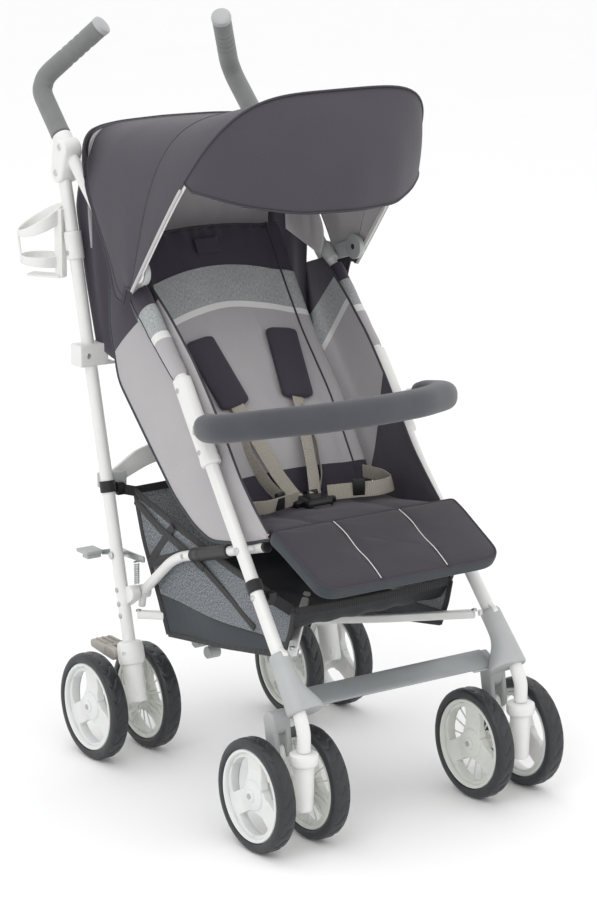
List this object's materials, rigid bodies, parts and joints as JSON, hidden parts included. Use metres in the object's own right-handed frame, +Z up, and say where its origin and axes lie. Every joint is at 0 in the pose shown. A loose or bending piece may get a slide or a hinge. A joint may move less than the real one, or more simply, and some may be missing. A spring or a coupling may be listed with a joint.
{
  "type": "umbrella stroller",
  "caption": "Folding umbrella stroller with hooked handles, reclining seat, canopy, bumper bar, calf rest, basket and double swivel front wheels.",
  "frame": {"origin": "centre of the footprint box, on the ground", "axes": "+Z up, the child faces -Y, +X is the left side of the child"},
  "size_m": [0.489, 0.7456, 1.072],
  "materials": {
    "white_steel": "satin white paint",
    "white_plastic": "satin white plastic",
    "grey_plastic": "satin grey plastic",
    "taupe_plastic": "satin taupe plastic",
    "rim_plastic": "satin light grey plastic",
    "tyre_rubber": "matt black foam rubber",
    "foam": "grey closed-cell foam",
    "bar_foam": "dark grey closed-cell foam",
    "zinc_steel": "zinc plated",
    "black_plastic": "satin black plastic",
    "canopy_cloth": "dark grey-violet woven polyester",
    "back_cloth": "mid grey woven polyester, padded",
    "seat_cloth": "light grey woven polyester",
    "calf_cloth": "charcoal woven polyester, padded",
    "basket_mesh": "dark woven polyester and mesh"
  },
  "bodies": {
    "seat": {"seat_sling": "seat_cloth", "basket": "basket_mesh", "canopy_rear": "canopy_cloth", "foot_strip": "grey_plastic", "harness_buckle": "black_plastic"},
    "side_right": {"main_tube_right": "white_steel", "handle_grip_right": "foam", "knuckle_right": "white_plastic", "armrest_sleeve_right": "white_plastic", "foot_bracket_right": "grey_plastic", "canopy_joint_right": "grey_plastic"},
    "rear_right": {"rear_leg_right": "white_steel", "rear_housing_right": "white_plastic", "cup_holder": "white_plastic", "tube_clip": "white_plastic"},
    "link_right": {"seat_link_right": "white_steel"},
    "bar_right": {"cross_bar_right": "white_steel"},
    "arm_right": {"arch_arm_right": "white_plastic"},
    "caster_right": {"caster_fork_right": "white_plastic"},
    "lock_right": {"swivel_lock_right": "grey_plastic"},
    "brake_right": {"brake_pedal_right": "taupe_plastic"},
    "button_right": {"bar_button_right": "grey_plastic"},
    "front_right_outer": {"front_right_outer_rim": "rim_plastic", "front_right_outer_tyre": "tyre_rubber"},
    "front_right_inner": {"front_right_inner_rim": "rim_plastic", "front_right_inner_tyre": "tyre_rubber"},
    "rear_right_outer": {"rear_right_outer_rim": "rim_plastic", "rear_right_outer_tyre": "tyre_rubber"},
    "rear_right_inner": {"rear_right_inner_rim": "rim_plastic", "rear_right_inner_tyre": "tyre_rubber"},
    "side_left": {"main_tube_left": "white_steel", "handle_grip_left": "foam", "knuckle_left": "white_plastic", "armrest_sleeve_left": "white_plastic", "foot_bracket_left": "grey_plastic", "canopy_joint_left": "grey_plastic"},
    "rear_left": {"rear_leg_left": "white_steel", "rear_housing_left": "white_plastic"},
    "link_left": {"seat_link_left": "white_steel"},
    "bar_left": {"cross_bar_left": "white_steel"},
    "arm_left": {"arch_arm_left": "white_plastic"},
    "caster_left": {"caster_fork_left": "white_plastic"},
    "lock_left": {"swivel_lock_left": "grey_plastic"},
    "brake_left": {"brake_pedal_left": "taupe_plastic"},
    "button_left": {"bar_button_left": "grey_plastic"},
    "front_left_outer": {"front_left_outer_rim": "rim_plastic", "front_left_outer_tyre": "tyre_rubber"},
    "front_left_inner": {"front_left_inner_rim": "rim_plastic", "front_left_inner_tyre": "tyre_rubber"},
    "rear_left_outer": {"rear_left_outer_rim": "rim_plastic", "rear_left_outer_tyre": "tyre_rubber"},
    "rear_left_inner": {"rear_left_inner_rim": "rim_plastic", "rear_left_inner_tyre": "tyre_rubber"},
    "pedal": {"pedal_lever": "zinc_steel", "pedal_spring": "zinc_steel"},
    "back": {"backrest": "back_cloth"},
    "calf": {"calf_rest": "calf_cloth"},
    "bumper": {"bumper_bar": "bar_foam"},
    "canopy": {"canopy_front": "canopy_cloth", "canopy_bow": "white_plastic"}
  },
  "joints": [
    {"name": "fold", "type": "slide", "parent": "seat", "child": "side_right", "axis": [1, 0, 0], "range_m": [0, 0.07], "deforming": ["seat_sling", "backrest", "calf_rest", "basket", "canopy_rear", "canopy_front", "canopy_bow", "foot_strip", "bumper_bar"]},
    {"name": "fold_left", "type": "slide", "parent": "seat", "child": "side_left", "axis": [-1, 0, 0], "range_m": [0, 0.0701]},
    {"name": "leg_right", "type": "hinge", "parent": "side_right", "child": "rear_right", "pos_m": [-0.174, 0.29143, 0.849], "axis": [-1, 0, 0], "range_deg": [0, 22.05]},
    {"name": "link_right", "type": "hinge", "parent": "side_right", "child": "link_right", "pos_m": [-0.148, -0.17197, 0.385], "axis": [1, 0, 0], "range_deg": [0, 27.05]},
    {"name": "bar_right", "type": "hinge", "parent": "side_right", "child": "bar_right", "pos_m": [-0.156, -0.26907, 0.262], "axis": [0.6181, -0.405, 0.6737], "range_deg": [0, 24.74]},
    {"name": "arm_right", "type": "hinge", "parent": "rear_right", "child": "arm_right", "pos_m": [-0.15, 0.20109, 0.408], "axis": [0, -1, 0], "range_deg": [0, 46.55]},
    {"name": "caster_right", "type": "hinge", "parent": "side_right", "child": "caster_right", "pos_m": [-0.186, -0.33977, 0.1], "axis": [0, 0, 1], "continuous": true},
    {"name": "front_right_outer_spin", "type": "hinge", "parent": "caster_right", "child": "front_right_outer", "pos_m": [-0.2305, -0.29207, 0.0795], "axis": [1, 0, 0], "continuous": true},
    {"name": "front_right_inner_spin", "type": "hinge", "parent": "caster_right", "child": "front_right_inner", "pos_m": [-0.1415, -0.29207, 0.0795], "axis": [1, 0, 0], "continuous": true},
    {"name": "rear_right_outer_spin", "type": "hinge", "parent": "rear_right", "child": "rear_right_outer", "pos_m": [-0.2195, 0.15393, 0.0795], "axis": [1, 0, 0], "continuous": true},
    {"name": "rear_right_inner_spin", "type": "hinge", "parent": "rear_right", "child": "rear_right_inner", "pos_m": [-0.1285, 0.15393, 0.0795], "axis": [1, 0, 0], "continuous": true},
    {"name": "lock_right", "type": "hinge", "parent": "caster_right", "child": "lock_right", "pos_m": [-0.186, -0.28207, 0.132], "axis": [1, 0, 0], "range_deg": [-20, 0]},
    {"name": "brake_right", "type": "hinge", "parent": "rear_right", "child": "brake_right", "pos_m": [-0.174, 0.14893, 0.154], "axis": [1, 0, 0], "range_deg": [-16, 0]},
    {"name": "button_right_press", "type": "slide", "parent": "side_right", "child": "button_right", "axis": [-1, 0, 0], "range_m": [-0.001, 0], "stiffness_N_per_m": 800},
    {"name": "leg_left", "type": "hinge", "parent": "side_left", "child": "rear_left", "pos_m": [0.174, 0.29143, 0.849], "axis": [-1, 0, 0], "range_deg": [0, 22.05]},
    {"name": "link_left", "type": "hinge", "parent": "side_left", "child": "link_left", "pos_m": [0.148, -0.17197, 0.385], "axis": [1, 0, 0], "range_deg": [0, 27.05]},
    {"name": "bar_left", "type": "hinge", "parent": "side_left", "child": "bar_left", "pos_m": [0.156, -0.26907, 0.262], "axis": [0.6181, 0.405, -0.6737], "range_deg": [0, 24.74]},
    {"name": "arm_left", "type": "hinge", "parent": "rear_left", "child": "arm_left", "pos_m": [0.15, 0.20808, 0.408], "axis": [0, 1, 0], "range_deg": [0, 46.55]},
    {"name": "caster_left", "type": "hinge", "parent": "side_left", "child": "caster_left", "pos_m": [0.186, -0.33977, 0.1], "axis": [0, 0, 1], "continuous": true},
    {"name": "front_left_outer_spin", "type": "hinge", "parent": "caster_left", "child": "front_left_outer", "pos_m": [0.2305, -0.29207, 0.0795], "axis": [1, 0, 0], "continuous": true},
    {"name": "front_left_inner_spin", "type": "hinge", "parent": "caster_left", "child": "front_left_inner", "pos_m": [0.1415, -0.29207, 0.0795], "axis": [1, 0, 0], "continuous": true},
    {"name": "rear_left_outer_spin", "type": "hinge", "parent": "rear_left", "child": "rear_left_outer", "pos_m": [0.2195, 0.15393, 0.0795], "axis": [1, 0, 0], "continuous": true},
    {"name": "rear_left_inner_spin", "type": "hinge", "parent": "rear_left", "child": "rear_left_inner", "pos_m": [0.1285, 0.15393, 0.0795], "axis": [1, 0, 0], "continuous": true},
    {"name": "lock_left", "type": "hinge", "parent": "caster_left", "child": "lock_left", "pos_m": [0.186, -0.28207, 0.132], "axis": [1, 0, 0], "range_deg": [-20, 0]},
    {"name": "brake_left", "type": "hinge", "parent": "rear_left", "child": "brake_left", "pos_m": [0.174, 0.14893, 0.154], "axis": [1, 0, 0], "range_deg": [-16, 0]},
    {"name": "button_left_press", "type": "slide", "parent": "side_left", "child": "button_left", "axis": [1, 0, 0], "range_m": [-0.001, 0], "stiffness_N_per_m": 800},
    {"name": "pedal_press", "type": "hinge", "parent": "rear_right", "child": "pedal", "pos_m": [-0.1576, 0.15741, 0.302], "axis": [1, 0, 0], "range_deg": [-14, 0], "stiffness_Nm_per_rad": 1.2, "springref_deg": 8.59, "deforming": ["pedal_spring"]},
    {"name": "recline", "type": "hinge", "parent": "seat", "child": "back", "pos_m": [0, -0.02607, 0.418], "axis": [1, 0, 0], "range_deg": [-25, 0]},
    {"name": "calf", "type": "hinge", "parent": "seat", "child": "calf", "pos_m": [0, -0.21707, 0.403], "axis": [-1, 0, 0], "range_deg": [-45, 0]},
    {"name": "bumper_gate", "type": "hinge", "parent": "side_left", "child": "bumper", "pos_m": [0.2045, -0.09907, 0.545], "axis": [0, 0, -1], "range_deg": [-80, 0]},
    {"name": "canopy_fold", "type": "hinge", "parent": "seat", "child": "canopy", "pos_m": [0, 0.06293, 0.737], "axis": [1, 0, 0], "range_deg": [-40, 0]}
  ],
  "couplings": [
    {"joint": "fold_left", "follows": "fold", "ratio": 1},
    {"joint": "leg_right", "follows": "fold", "rad_per_m": 5.4853},
    {"joint": "link_right", "follows": "fold", "rad_per_m": 6.732},
    {"joint": "bar_right", "follows": "fold", "rad_per_m": 6.155},
    {"joint": "arm_right", "follows": "fold", "rad_per_m": 11.594},
    {"joint": "leg_left", "follows": "fold", "rad_per_m": 5.4853},
    {"joint": "link_left", "follows": "fold", "rad_per_m": 6.732},
    {"joint": "bar_left", "follows": "fold", "rad_per_m": 6.155},
    {"joint": "arm_left", "follows": "fold", "rad_per_m": 11.594}
  ]
}
